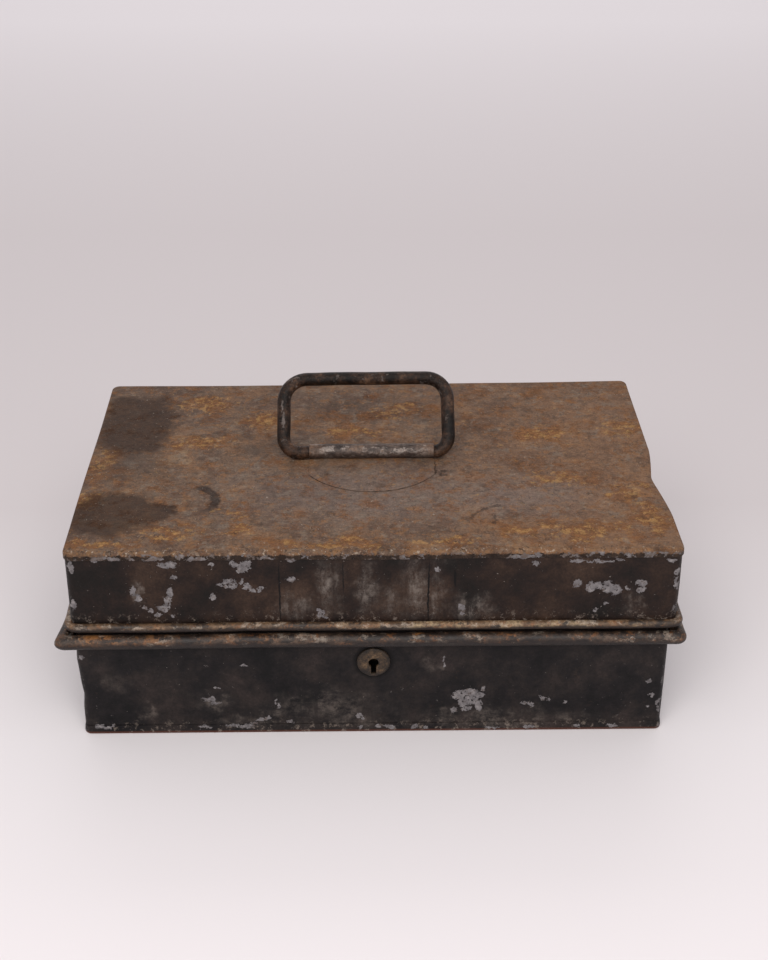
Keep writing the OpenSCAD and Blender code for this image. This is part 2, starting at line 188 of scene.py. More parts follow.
def grit(tree, point, base, size, depth):
    # fine light and dark grain about that many mm across, by so much each way
    cloud = add(tree, "TexNoise", {}, {"Vector": point, "Scale": 1 / size, "Detail": 3.0, "Roughness": 0.7})
    level = add(tree, "MapRange", {"clamp": False},
                {"Value": cloud, "From Min": 0.3, "From Max": 0.7, "To Min": 1 - depth,
                 "To Max": 1 + depth})
    plain = hexColor(base)[:3] if isinstance(base, str) else base
    return add(tree, "VectorMath", {"operation": "SCALE"}, {0: plain, "Scale": level})


def shifted(tree, point, size, reach):
    # the point, pushed about by a few mm, so that a plain outline comes out torn
    cloud = add(tree, "TexNoise", {}, {"Vector": point, "Scale": 1 / size, "Detail": 4.0,
                                       "Roughness": 0.65}, "Color")
    centred = add(tree, "VectorMath", {"operation": "SUBTRACT"}, {0: cloud, 1: (0.5, 0.5, 0.5)})
    push = add(tree, "VectorMath", {"operation": "SCALE"}, {0: centred, "Scale": reach})
    return add(tree, "VectorMath", {"operation": "ADD"}, {0: point, 1: push})


def marks(tree, point, ovals, face, edge, depth=6.0, torn=0.0):
    # 1 inside the listed ovals on one face, fading over edge = (none, full) in half-widths
    nearest = None
    for across, up, width, height in ovals:
        centre, shrink = (across, face["at"], up), (2 / width, 1 / depth, 2 / height)
        if face["axis"] == "z":
            centre, shrink = (across, up, face["at"]), (2 / width, 2 / height, 1 / depth)
        away = add(tree, "VectorMath", {"operation": "SUBTRACT"}, {0: point, 1: centre})
        scaled = add(tree, "VectorMath", {"operation": "MULTIPLY"}, {0: away, 1: shrink})
        distance = add(tree, "VectorMath", {"operation": "LENGTH"}, {0: scaled}, "Value")
        if nearest is not None:
            distance = add(tree, "Math", {"operation": "MINIMUM"}, {0: nearest, 1: distance})
        nearest = distance
    if torn:
        cloud = add(tree, "TexNoise", {}, {"Vector": point, "Scale": 0.55, "Detail": 5.0,
                                           "Roughness": 0.75})
        frayed = add(tree, "Math", {"operation": "MULTIPLY_ADD"}, {0: cloud, 1: torn, 2: -torn / 2})
        nearest = add(tree, "Math", {"operation": "ADD"}, {0: nearest, 1: frayed})
    return add(tree, "MapRange", {"interpolation_type": "SMOOTHSTEP"},
               {"Value": nearest, "From Min": edge[0], "From Max": edge[1]})


def ringMark(tree, point, centre, radius, thick, window):
    # part of a ring on the lid top, as a wet cup leaves: only what lies inside the window oval
    flat = add(tree, "VectorMath", {"operation": "MULTIPLY"}, {0: point, 1: (1.0, 1.0, 0.0)})
    away = add(tree, "VectorMath", {"operation": "DISTANCE"}, {0: flat, 1: (centre[0], centre[1], 0.0)},
               "Value")
    off = add(tree, "Math", {"operation": "SUBTRACT"}, {0: away, 1: radius})
    line = add(tree, "Math", {"operation": "ABSOLUTE"}, {0: off})
    line = add(tree, "MapRange", {}, {"Value": line, "From Min": thick * 0.62, "From Max": thick * 0.36})
    inside = marks(tree, point, [window], topOfLid, (1.1, 0.75), 12.0)
    return add(tree, "Math", {"operation": "MULTIPLY"}, {0: line, 1: inside})


def bareTin(tree, point):
    # the tin under the japan: flat grey, faintly violet, with brown freckles
    cloud = add(tree, "TexNoise", {}, {"Vector": point, "Scale": 0.35, "Detail": 6.0, "Roughness": 0.7})
    tin = shades(tree, cloud, [(0.35, "514d4e"), (0.5, "6b6768"), (0.65, "827d7d")])
    return coat(tree, tin, patches(tree, point, 2.2, 0.55, 0.65), "4d4038", 0.8)


def japannedTinplate(name, tones, flakes=None, scuffs=None, dirtAndShadow=None, face=None, seed=0.0, wide=None):
    # black japan baked on tinplate and worn: dull brown-black, scuffed grey, bare tin where it flaked
    finish, tree, point = newFinish(name)
    seeded = add(tree, "VectorMath", {"operation": "ADD"}, {0: point, 1: (seed, seed, -seed)})
    base = mottled(tree, seeded, 26, 8.0, 0.66,
                   [(0.36, tones[0]), (0.46, tones[1]), (0.54, tones[2]), (0.66, tones[3])])
    base = grit(tree, seeded, base, 1.3, 0.3)
    x, y, z = (add(tree, "SeparateXYZ", {}, {0: point}, axis) for axis in ("X", "Y", "Z"))
    bare = patches(tree, seeded, 13.0, 0.665, 0.675, 7.0, 0.68)
    if flakes:
        elsewhere = add(tree, "MapRange", {}, {"Value": y, "From Min": face["at"] + 3,
                                               "From Max": face["at"] + 6})
        bare = add(tree, "Math", {"operation": "MULTIPLY"}, {0: bare, 1: elsewhere})
        placed = marks(tree, shifted(tree, point, 3.2, 6.0), flakes, face, (1.05, 0.97), 5.0, 1.5)
        bare = add(tree, "Math", {"operation": "MAXIMUM"}, {0: bare, 1: placed})
    # the upright corners and the lowest edge rub first
    if wide:
        side = add(tree, "Math", {"operation": "ABSOLUTE"}, {0: x})
        corner = add(tree, "MapRange", {}, {"Value": side, "From Min": wide - 2.2, "From Max": wide - 0.6})
        corner = add(tree, "Math", {"operation": "MULTIPLY"},
                     {0: corner, 1: patches(tree, seeded, 5.0, 0.56, 0.6, 6.0, 0.7)})
        fore = add(tree, "MapRange", {}, {"Value": y, "From Min": -wide * 0.61, "From Max": -wide * 0.615})
        corner = add(tree, "Math", {"operation": "MULTIPLY"}, {0: corner, 1: fore})
        bare = add(tree, "Math", {"operation": "MAXIMUM"}, {0: bare, 1: corner})
    grain = (0.9, 0.9, 0.07) if face is frontOfLid else (0.16, 0.5, 0.4)    # rubbed up and down, or along
    long = add(tree, "VectorMath", {"operation": "MULTIPLY"},
               {0: shifted(tree, seeded, 7.0, 7.0), 1: grain})
    streaks = add(tree, "TexNoise", {}, {"Vector": long, "Scale": 1.0, "Detail": 6.0, "Roughness": 0.72})
    streaks = add(tree, "MapRange", {}, {"Value": streaks, "From Min": 0.42, "From Max": 0.78})
    smears = patches(tree, seeded, 6.0, 0.42, 0.72, 7.0, 0.72)
    wideLong = add(tree, "VectorMath", {"operation": "MULTIPLY"}, {0: seeded, 1: (0.16, 0.16, 0.012)})
    bands = add(tree, "TexNoise", {}, {"Vector": wideLong, "Scale": 1.0, "Detail": 3.0, "Roughness": 0.6})
    bands = add(tree, "MapRange", {}, {"Value": bands, "From Min": 0.4, "From Max": 0.56, "To Min": 0.38})
    hazy = add(tree, "Math", {"operation": "ADD"}, {0: streaks, 1: smears})
    hazy = add(tree, "Math", {"operation": "MULTIPLY"}, {0: hazy, 1: bands})
    if scuffs:
        zone = marks(tree, shifted(tree, point, 9.0, 22.0), scuffs, face, (1.5, 0.1))
        hazy = add(tree, "Math", {"operation": "MULTIPLY"}, {0: hazy, 1: zone})
        smear = ("827972", 0.48) if face is frontOfLid else ("70665f", 0.42)
        base = coat(tree, base, hazy, *smear)
        # near-black marks: grime streaks on the lid, and painted shadow round the escutcheon on the body
        base = coat(tree, base, marks(tree, shifted(tree, point, 3.0, 1.6), dirtAndShadow, face, (1.15, 0.9)),
                    "080606", 0.95)
    else:
        base = coat(tree, base, hazy, "6a6360", 0.12)
    base = coat(tree, base, patches(tree, seeded, 7.0, 0.6, 0.72, 8.0, 0.75), "45362d", 0.3)
    # a rusty foot, and light specks low on each wall
    if wide:
        foot = add(tree, "MapRange", {}, {"Value": z, "From Min": 1.9, "From Max": 1.0})
        base = coat(tree, base, foot, "5c3426", 0.75)
        floorOf = 66.0 if face is frontOfLid else 0.0
        low = add(tree, "MapRange", {}, {"Value": z, "From Min": floorOf + 9.0, "From Max": floorOf + 2.0})
        low = add(tree, "Math", {"operation": "MULTIPLY"},
                  {0: low, 1: patches(tree, shifted(tree, seeded, 3.0, 3.0), 3.2, 0.565, 0.6, 7.0, 0.77)})
        base = coat(tree, base, low, "756a61", 0.8)
    base = coat(tree, base, patches(tree, seeded, 1.5, 0.7, 0.73, 3.0, 0.7), "8a827c", 0.7)
    base = coat(tree, base, patches(tree, shifted(tree, seeded, 4.0, 4.0), 3.4, 0.69, 0.72, 5.0, 0.7),
                "6a6462", 0.6)
    whole = patches(tree, point, 1.4, 0.66, 0.6, 3.0, 0.6)
    inner = add(tree, "Math", {"operation": "MULTIPLY"}, {0: bare, 1: whole})
    gloss = add(tree, "MapRange", {}, {"Value": smears, "To Min": 0.42, "To Max": 0.62})
    skin = add(tree, "TexNoise", {}, {"Vector": point, "Scale": 0.5, "Detail": 7.0, "Roughness": 0.7})
    height = add(tree, "Math", {"operation": "MULTIPLY_ADD"}, {0: inner, 1: -0.6, 2: skin})
    base = coat(tree, base, inner, bareTin(tree, point))
    return filled(finish, base, gloss, height, 0.16, specular=0.16)


def rustedLidTop():
    # tinplate that has lost its japan: matt grey-brown, blotched with orange rust, with soaked dark stains
    finish, tree, point = newFinish("rusted tinplate, lid top")
    x, y, z = (add(tree, "SeparateXYZ", {}, {0: point}, axis) for axis in ("X", "Y", "Z"))
    loose = shifted(tree, point, 26.0, 30.0)
    base = mottled(tree, loose, 24, 9.0, 0.74,
                   [(0.36, "4a382b"), (0.44, "574235"), (0.5, "645040"), (0.56, "6a4d37"),
                    (0.64, "7c644d")])
    greyed = patches(tree, point, 17.0, 0.48, 0.62, 8.0, 0.7)
    base = coat(tree, base, greyed, "65564a", 0.45)
    rightHalf = add(tree, "MapRange", {"interpolation_type": "SMOOTHSTEP"},
                    {"Value": x, "From Min": 0.0, "From Max": 120.0})
    base = coat(tree, base, rightHalf, "76563d", 0.42)
    back = add(tree, "MapRange", {}, {"Value": y, "From Min": 20.0, "From Max": 85.0})
    base = coat(tree, base, back, "4a382c", 0.22)
    worn = marks(tree, shifted(tree, point, 14.0, 30.0), [(4, -36, 150, 66), (70, -40, 90, 40)],
                 topOfLid, (1.4, 0.3), 12.0)
    base = coat(tree, base, worn, "6a5e58", 0.55)
    zone = marks(tree, shifted(tree, point, 11.0, 26.0), topRust, topOfLid, (1.5, 0.3), 12.0)
    small = shifted(tree, point, 4.0, 4.0)
    rust = denser(tree, small, 13.0, zone, 0.12, 0.52, 0.62)
    base = coat(tree, base, rust, "6a452b", 0.58)
    base = coat(tree, base, denser(tree, small, 6.0, zone, 0.07, 0.545, 0.585), "7a5330", 0.5)
    base = coat(tree, base, denser(tree, small, 4.5, zone, 0.11, 0.61, 0.655), "98764a", 0.62)
    base = coat(tree, base, denser(tree, point, 7.0, zone, -0.05, 0.55, 0.6), "6d6257", 0.5)
    base = coat(tree, base, denser(tree, small, 8.0, zone, -0.02, 0.56, 0.6), "43342a", 0.5)
    stain = marks(tree, shifted(tree, point, 12.0, 22.0), topStains, topOfLid, (1.2, 0.72), 12.0)
    base = coat(tree, base, stain, "2f1e13", 0.83)
    tint = marks(tree, shifted(tree, point, 14.0, 30.0), topTints, topOfLid, (1.4, 0.4), 12.0)
    base = coat(tree, base, tint, "40342c", 0.4)
    frayed = shifted(tree, point, 2.5, 4.5)
    ring = ringMark(tree, frayed, (-95, -43), 16.7, 5.0, (-82, -38, 21, 31))
    base = coat(tree, base, ring, "261d19", 0.8)
    # beside the handle's strap
    cracks = [(32.9, -10, 1.1, 15), (37, -13, 3, 2), (35.5, -17, 2, 3.4), (38, -18, 3, 1.6)]
    base = coat(tree, base, marks(tree, frayed, cracks, topOfLid, (1.2, 0.8), 12.0), "2a2019", 0.7)
    for centre, radius, window in (((66, -68.5), 19.0, (56, -56, 26, 20)),
                                   ((50, -63), 10.0, (60, -63.5, 6, 11))):
        base = coat(tree, base, ringMark(tree, frayed, centre, radius, 1.7, window), "352a23", 0.6)
    base = grit(tree, point, base, 1.0, 0.26)
    base = grit(tree, shifted(tree, point, 3.0, 3.0), base, 3.6, 0.24)
    brushed = add(tree, "VectorMath", {"operation": "MULTIPLY"}, {0: point, 1: (0.1, 0.9, 0.9)})
    base = grit(tree, brushed, base, 1.0, 0.09)                  # fine wear from side to side
    base = coat(tree, base, patches(tree, point, 2.6, 0.58, 0.63, 7.0, 0.78), "2c221c", 0.62)
    base = coat(tree, base, patches(tree, small, 1.6, 0.66, 0.7, 4.0, 0.7), "a39688", 0.75)
    # the front edge, where hands and other boxes have rubbed: speckled orange, grey and black
    edge = add(tree, "MapRange", {"interpolation_type": "SMOOTHSTEP"},
               {"Value": y, "From Min": -85.0, "From Max": -91.0})
    for size, tone, low in ((3.4, "755639", 0.53), (2.8, "2b211c", 0.56), (2.4, "9d8f80", 0.57)):
        specks = add(tree, "Math", {"operation": "MULTIPLY"},
                     {0: edge, 1: patches(tree, point, size, low, low + 0.05, 7.0, 0.75)})
        base = coat(tree, base, specks, tone, 0.75)
    # the folded lip keeps its japan, with a torn upper edge
    wander = add(tree, "TexNoise", {}, {"Vector": point, "Scale": 0.22, "Detail": 7.0, "Roughness": 0.75})
    torn = add(tree, "Math", {"operation": "MULTIPLY_ADD"}, {0: wander, 1: 6.0, 2: z})
    lip = add(tree, "MapRange", {}, {"Value": torn, "From Min": 109.0, "From Max": 108.5})
    black = grit(tree, point, shades(tree, wander, [(0.4, "1a1412"), (0.6, "33271f")]), 1.3, 0.4)
    base = coat(tree, base, lip, black, 0.95)
    seam = add(tree, "Math", {"operation": "MULTIPLY"},
               {0: add(tree, "MapRange", {}, {"Value": z, "From Min": 107.2, "From Max": 106.2}),
                1: patches(tree, shifted(tree, point, 2.0, 3.0), 4.5, 0.55, 0.57, 6.0, 0.72)})
    upper = [flake for flake in lidFlakes if flake[1] > 99]
    placed = marks(tree, shifted(tree, point, 3.2, 6.0), upper, frontOfLid, (1.05, 0.97), 5.0, 1.5)
    bare = add(tree, "Math", {"operation": "MAXIMUM"}, {0: placed, 1: seam})
    dulled = coat(tree, bareTin(tree, point), patches(tree, point, 3.0, 0.42, 0.56), "5d5048", 0.75)
    gloss = add(tree, "MapRange", {}, {"Value": rust, "To Min": 0.6, "To Max": 0.88})
    pits = add(tree, "TexNoise", {}, {"Vector": point, "Scale": 0.5, "Detail": 6.0, "Roughness": 0.7})
    height = add(tree, "Math", {"operation": "MULTIPLY_ADD"}, {0: rust, 1: 0.25, 2: pits})
    height = add(tree, "Math", {"operation": "MULTIPLY_ADD"}, {0: bare, 1: -0.5, 2: height})
    base = coat(tree, base, bare, dulled)
    return filled(finish, base, gloss, height, 0.2, specular=0.16)


def rubbedBead(name, middle, radius, tones, zones, zoneTone, cream, black):
    # a rolled edge that hands have rubbed: gold-brown tin and rust on its crown, black japan and painted
    # shade below
    finish, tree, point = newFinish(name)
    z = add(tree, "SeparateXYZ", {}, {0: point}, "Z")
    along = add(tree, "VectorMath", {"operation": "MULTIPLY"},
                {0: shifted(tree, point, 4.0, 5.0), 1: (0.42, 0.42, 1.0)})
    cloud = add(tree, "TexNoise", {}, {"Vector": along, "Scale": 1 / 6, "Detail": 8.0, "Roughness": 0.72})
    base = shades(tree, cloud, [(0.36, tones[0]), (0.46, tones[1]), (0.55, tones[2]), (0.66, tones[3])])
    zone = marks(tree, shifted(tree, point, 6.0, 10.0), zones, {"axis": "y", "at": -96.0}, (1.3, 0.5), 12.0)
    zone = add(tree, "Math", {"operation": "MULTIPLY"}, {0: zone, 1: patches(tree, along, 5.0, 0.46, 0.6)})
    base = coat(tree, base, zone, zoneTone, 0.66)
    base = coat(tree, base, patches(tree, point, 4.0, 0.54, 0.6, 8.0, 0.75), "6f4728", 0.6)
    base = coat(tree, base, patches(tree, along, 3.2, 0.555, 0.59, 7.0, 0.72), "ab9e90", cream)
    base = coat(tree, base, patches(tree, along, 4.5, *black, 8.0, 0.72), "1c1614", 0.85)
    base = grit(tree, point, base, 1.2, 0.45)
    # how high up the bead the rub reaches wanders along its length; below that line the bead is painted
    # near-black, black japan and painted shade together
    wander = add(tree, "TexNoise", {}, {"Vector": along, "Scale": 0.12, "Detail": 6.0, "Roughness": 0.7})
    level = add(tree, "Math", {"operation": "MULTIPLY_ADD"}, {0: wander, 1: radius * 2.6, 2: z})
    under = add(tree, "MapRange", {}, {"Value": level, "From Min": middle + radius * 1.75,
                                       "From Max": middle + radius * 1.15})
    base = coat(tree, base, under, grit(tree, point, "1c1513", 1.5, 0.5), 0.92)
    gloss = add(tree, "MapRange", {}, {"Value": cloud, "From Min": 0.35, "From Max": 0.65, "To Min": 0.4,
                                       "To Max": 0.62})
    pits = add(tree, "TexNoise", {}, {"Vector": point, "Scale": 0.6, "Detail": 7.0, "Roughness": 0.72})
    return filled(finish, base, gloss, pits, 0.28, specular=0.35)


def rubbedHandleJapan():
    # black japan on a steel rod, worn by hands: satin brown-black, with grey steel and rust coming through
    finish, tree, point = newFinish("japanned rod, rubbed")
    base = mottled(tree, point, 9, 8.0, 0.72,
                   [(0.4, "0d0806"), (0.48, "1c120c"), (0.56, "322219"), (0.66, "563f2f")])
    base = coat(tree, base, patches(tree, point, 4.0, 0.57, 0.68, 8.0, 0.76), "4f3827", 0.6)
    torn = shifted(tree, point, 2.0, 2.6)
    bare = patches(tree, torn, 5.0, 0.585, 0.62, 7.0, 0.74)
    # flaked on the left upright
    leg = [(-46.6, 133, 1.2, 7), (-45.8, 126.5, 1.6, 7), (45.2, 133, 1.2, 5)]
    bare = add(tree, "Math", {"operation": "MAXIMUM"},
               {0: bare, 1: marks(tree, torn, leg, {"axis": "y", "at": 11.5}, (1.1, 0.9), 7.0, 1.6)})
    base = coat(tree, base, bare, "6c625d", 0.62)
    low = add(tree, "SeparateXYZ", {}, {0: point}, "Z")
    low = add(tree, "MapRange", {}, {"Value": low, "From Min": 119.0, "From Max": 112.0})
    low = add(tree, "Math", {"operation": "MULTIPLY"}, {0: low, 1: patches(tree, torn, 6.0, 0.4, 0.6)})
    base = coat(tree, base, low, "4b3527", 0.8)                 # rustier where it runs into the strap
    base = grit(tree, point, base, 1.1, 0.55)
    skin = add(tree, "TexNoise", {}, {"Vector": point, "Scale": 0.45, "Detail": 7.0, "Roughness": 0.76})
    height = add(tree, "Math", {"operation": "MULTIPLY_ADD"}, {0: bare, 1: -0.4, 2: skin})
    return filled(finish, base, 0.36, height, 0.55, specular=0.19)


def rubbedKnuckle():
    # the rolled strap round the rod: steel rubbed grey on top, rust-brown at its ends, and darker low down
    # as painted shade
    finish, tree, point = newFinish("steel strap, rubbed")
    x, z = (add(tree, "SeparateXYZ", {}, {0: point}, axis) for axis in ("X", "Z"))
    along = add(tree, "VectorMath", {"operation": "MULTIPLY"},
                {0: shifted(tree, point, 4.0, 4.0), 1: (0.4, 1.0, 1.0)})
    base = mottled(tree, along, 5, 8.0, 0.72,
                   [(0.38, "2a211d"), (0.46, "40342e"), (0.55, "594b43"), (0.64, "766960")])
    base = coat(tree, base, patches(tree, along, 6.0, 0.53, 0.57, 8.0, 0.74), "958a82", 0.7)
    ends = add(tree, "Math", {"operation": "ABSOLUTE"}, {0: x})
    ends = add(tree, "MapRange", {}, {"Value": ends, "From Min": 22.0, "From Max": 32.0})
    spots = patches(tree, along, 5.0, 0.54, 0.62, 7.0, 0.7)
    rusty = add(tree, "Math", {"operation": "MAXIMUM"}, {0: ends, 1: spots})
    base = coat(tree, base, rusty, grit(tree, point, "5f4532", 2.0, 0.5), 0.7)
    # painted shade: the knuckle darkens towards its underside
    low = add(tree, "MapRange", {}, {"Value": z, "From Min": 114.2, "From Max": 111.0})
    base = coat(tree, base, low, "352a25", 0.75)
    base = grit(tree, point, base, 1.2, 0.45)
    pits = add(tree, "TexNoise", {}, {"Vector": point, "Scale": 0.7, "Detail": 7.0, "Roughness": 0.7})
    return filled(finish, base, 0.5, pits, 0.3, specular=0.35)


def seamGrimeAndShadow():
    # grime packed against an edge, with painted shadow: flat near-black brown
    finish, tree, point = newFinish("dirt in the seam")
    base = coat(tree, hexColor("2c231d"), patches(tree, point, 5.0, 0.42, 0.55), "5a493d")
    feed(tree, tree.nodes["Principled BSDF"], {"Base Color": base, "Roughness": 0.85})
    return finish


def tarnishedBrass():
    # stamped brass gone brown: dull yellow-brown, with painted shade darkening its outer edge
    finish, tree, point = newFinish("tarnished brass")
    base = mottled(tree, point, 4, 8.0, 0.72,
                   [(0.36, "1b1511"), (0.46, "372b1f"), (0.56, "4c3b2a"), (0.68, "6d5840")])
    base = grit(tree, point, base, 1.0, 0.4)
    away = add(tree, "VectorMath", {"operation": "DISTANCE"},
               {0: point, 1: (0.0, -90.0, keyhole["z"] / mm)}, "Value")
    shadedEdge = add(tree, "MapRange", {}, {"Value": away, "From Min": 5.8, "From Max": 8.0})
    base = coat(tree, base, shadedEdge, "17110d", 0.6)              # painted shade round the edge, to round the disc
    pits = add(tree, "TexNoise", {}, {"Vector": point, "Scale": 0.9, "Detail": 6.0, "Roughness": 0.65})
    return filled(finish, base, 0.5, pits, 0.18, metal=0.35)


def dullSteel(name, tones):
    # mill steel that has greyed with a little rust: soft metallic grey
    finish, tree, point = newFinish(name)
    base = mottled(tree, point, 7, 7.0, 0.7, [(0.38, tones[0]), (0.5, tones[1]), (0.62, tones[2])])
    base = coat(tree, base, patches(tree, point, 3.0, 0.58, 0.68), "54402f", 0.8)
    grain = add(tree, "TexNoise", {}, {"Vector": point, "Scale": 1.0, "Detail": 6.0, "Roughness": 0.65})
    base = grit(tree, point, base, 1.0, 0.25)
    return filled(finish, base, 0.5, grain, 0.1, metal=0.6)


def redLacquer():
    # thin red lacquer over tin, faded and rubbed: the inside of the box and its tray
    finish, tree, point = newFinish("faded red lacquer")
    cloud = add(tree, "TexNoise", {}, {"Vector": point, "Scale": 1 / 22, "Detail": 8.0, "Roughness": 0.7})
    base = shades(tree, cloud, [(0.36, "511d16"), (0.46, "5c231a"), (0.55, "66291e"), (0.66, "74382a")])
    base = coat(tree, base, patches(tree, point, 5.0, 0.56, 0.64, 8.0, 0.75), "43261f", 0.45)
    bare = patches(tree, shifted(tree, point, 3.0, 4.0), 10.0, 0.63, 0.65, 7.0, 0.7)
    base = grit(tree, point, coat(tree, base, bare, bareTin(tree, point)), 1.3, 0.22)
    gloss = add(tree, "MapRange", {}, {"Value": cloud, "From Min": 0.35, "From Max": 0.65,
                                       "To Min": 0.36, "To Max": 0.55})
    skin = add(tree, "TexNoise", {}, {"Vector": point, "Scale": 0.6, "Detail": 6.0, "Roughness": 0.65})
    height = add(tree, "Math", {"operation": "MULTIPLY_ADD"}, {0: bare, 1: -0.5, 2: skin})
    return filled(finish, base, gloss, height, 0.12)


def meshPiece(name, points, faces, coats, coatOf=None, crease=32.0):
    mesh = bpy.data.meshes.new(name)
    mesh.from_pydata([tuple(p) for p in points], [], faces)
    for coat in coats:
        mesh.materials.append(finishes[coat])
    if coatOf:
        mesh.polygons.foreach_set("material_index", coatOf)
    work = bmesh.new()
    work.from_mesh(mesh)
    bmesh.ops.recalc_face_normals(work, faces=work.faces)
    work.to_mesh(mesh)
    work.free()
    mesh.polygons.foreach_set("use_smooth", [True] * len(mesh.polygons))
    mesh.set_sharp_from_angle(angle=math.radians(crease))
    mesh.update()
    piece = bpy.data.objects.new(name, mesh)
    bpy.context.scene.collection.objects.link(piece)
    return piece


def arc(cx, cz, radius, start, end, steps):
    angles = [math.radians(start + (end - start) * k / steps) for k in range(steps + 1)]
    return [(cx + radius * math.cos(a), cz + radius * math.sin(a)) for a in angles]


def finer(profile, step):
    # adds points so that no side of a closed profile is longer than step; each point is (out, up, coat)
    fine = []
    for a, b in zip(profile, profile[1:] + profile[:1]):
        parts = max(1, math.ceil(math.dist(a[:2], b[:2]) / step))
        fine += [(a[0] + (b[0] - a[0]) * k / parts, a[1] + (b[1] - a[1]) * k / parts, a[2])
                 for k in range(parts)]
    return fine


def stations(plan, spacing, turns):
    # stops on the way round a rounded rectangle: a place relative to its corners, and a way out
    insideX, insideY = plan["halfX"] - plan["corner"], plan["halfY"] - plan["corner"]
    corners = [(1, 1, 0), (-1, 1, 90), (-1, -1, 180), (1, -1, 270)]
    stops = []
    for n, (cx, cy, start) in enumerate(corners):
        for k in range(turns + 1):
            angle = math.radians(start + 90 * k / turns)
            stops.append((cx, cy, math.cos(angle), math.sin(angle)))
        nx, ny, _ = corners[(n + 1) % 4]
        length = math.hypot((nx - cx) * insideX, (ny - cy) * insideY)
        out = math.radians(start + 90)
        parts = max(1, round(length / spacing))
        for k in range(1, parts):
            along = k / parts
            stops.append((cx + (nx - cx) * along, cy + (ny - cy) * along, math.cos(out), math.sin(out)))
    return stops


def skin(rings, count, closed=False):
    # faces between rings of that many points each, and from the last ring to the first if closed
    links = [(r * count, (r + 1) % rings * count) for r in range(rings if closed else rings - 1)]
    return [(a + k, a + (k + 1) % count, b + (k + 1) % count, b + k)
            for a, b in links for k in range(count)]


def caps(rings, count):
    return [tuple(range(count)), tuple(range((rings - 1) * count, rings * count))]


def carryRound(name, plan, profile, coats, spacing=2.5 * mm, turns=7, closed=True, crease=32.0):
    # profile points are (out from the plan's edge, height, coat); an open profile is capped at both ends
    stops = stations(plan, spacing, turns)
    points = []
    for out, up, _ in profile:
        reach = max(plan["corner"] + out, 0.25 * mm)
        shrink = reach - (plan["corner"] + out)
        sx, sy = plan["halfX"] - plan["corner"] - shrink, plan["halfY"] - plan["corner"] - shrink
        points += [(u * sx + nx * reach, v * sy + ny * reach, up) for u, v, nx, ny in stops]
    count, rings = len(stops), len(profile)
    faces = skin(rings, count, closed)
    coatOf = [coat for _, _, coat in (profile if closed else profile[:-1]) for _ in stops]
    if not closed:
        faces += caps(rings, count)
        coatOf += [profile[0][2], profile[-1][2]]
    return meshPiece(name, points, faces, coats, coatOf, crease)


def knock(piece, dents=(), waves=((70 * mm, 0.45 * mm),)):
    # pushes the sheet about: named dents, and long shallow waves that fade where something is fixed to it
    for vertex in piece.data.vertices:
        spot = vertex.co.copy()
        move = Vector()
        for dent in dents:
            reach = dent["reach"] if spot.y > dent["at"][1] or "front" not in dent else dent["front"]
            away = math.sqrt(sum(((spot[i] - dent["at"][i]) / reach[i]) ** 2 for i in range(3)))
            if away < 1:
                move += Vector(dent["push"]) * (1 - away) ** dent["sharp"]
        near = min((spot - Vector(at)).length / reach for at, reach in calmSpots)
        calm = min(1.0, max(0.0, near - 0.5) * 2)
        for length, depth in waves:
            move += noise.noise_vector(spot / length) * depth * calm
        vertex.co = spot + move
    piece.data.update()


def place(piece, rides, node, slot):
    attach(piece, rides)
    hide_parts(node)
    return piece


panel = {"sheet": 0.6 * mm, "fold": 1.7 * mm, "corner": 4.2 * mm, "lip": span("lid_panel", 2)[0],
         "top": span("lid_panel", 2)[1], "halfX": span("lid_panel", 0)[1],
         "halfY": span("lid_panel", 1)[1]}
lidDents = [
    {"at": (panel["halfX"], -20 * mm, 106 * mm), "reach": (16 * mm, 30 * mm, 17 * mm),
     "front": (16 * mm, 40 * mm, 17 * mm), "push": (-4.0 * mm, 0, -0.9 * mm), "sharp": 1.35},
    {"at": (panel["halfX"], -92 * mm, 85 * mm), "reach": (90 * mm, 110 * mm, 80 * mm),
     "push": (1.3 * mm, 0, 0), "sharp": 1.0},
    {"at": (panel["halfX"], 91 * mm, 108 * mm), "reach": (200 * mm, 110 * mm, 60 * mm),
     "push": (0, 0, 2.3 * mm), "sharp": 1.3},
    {"at": (-60 * mm, -92 * mm, 88 * mm), "reach": (40 * mm, 8 * mm, 22 * mm),
     "push": (0, 0.5 * mm, 0), "sharp": 2},
    {"at": (35 * mm, -92 * mm, 84 * mm), "reach": (26 * mm, 8 * mm, 18 * mm),
     "push": (0, 0.45 * mm, 0), "sharp": 2},
    {"at": (-100 * mm, -20 * mm, 108 * mm), "reach": (50 * mm, 50 * mm, 6 * mm),
     "push": (0, 0, -0.7 * mm), "sharp": 2},
    {"at": (90 * mm, 10 * mm, 108 * mm), "reach": (48 * mm, 55 * mm, 6 * mm),
     "push": (0, 0, -0.6 * mm), "sharp": 2}]


def makeLidPanel():
    t, fold, top, lip = panel["sheet"], panel["fold"], panel["top"], panel["lip"]
    deep = -panel["halfY"] + 1.0 * mm
    rows = [deep] + [-h * mm for h in (84, 76, 68, 60, 52, 44, 36, 30, 24, 19, 15, 12, 9, 7, 5, 3.4, 2.4)]
    outside = [(out, top) for out in rows if out < -fold]
    outside += arc(-fold, top - fold, fold, 90, 0, 6)
    outside += [(0, lip + 0.3 * mm)] + arc(-0.3 * mm, lip + 0.3 * mm, 0.3 * mm, 0, -90, 2)[1:]
    inside = [(-t, lip + 0.05 * mm)] + arc(-fold, top - fold, fold - t, 0, 90, 4)
    inside += [(out, top - t) for out in reversed(rows) if out < -fold]
    profile = [(o, u, 0) for o, u in outside] + [(o, u, 1) for o, u in inside]
    piece = carryRound("lidPanel", panel, profile, ("top", "lining"), closed=False)
    knock(piece, lidDents)
    return place(piece, "lid", "lid_panel", "worn_brown_japan")


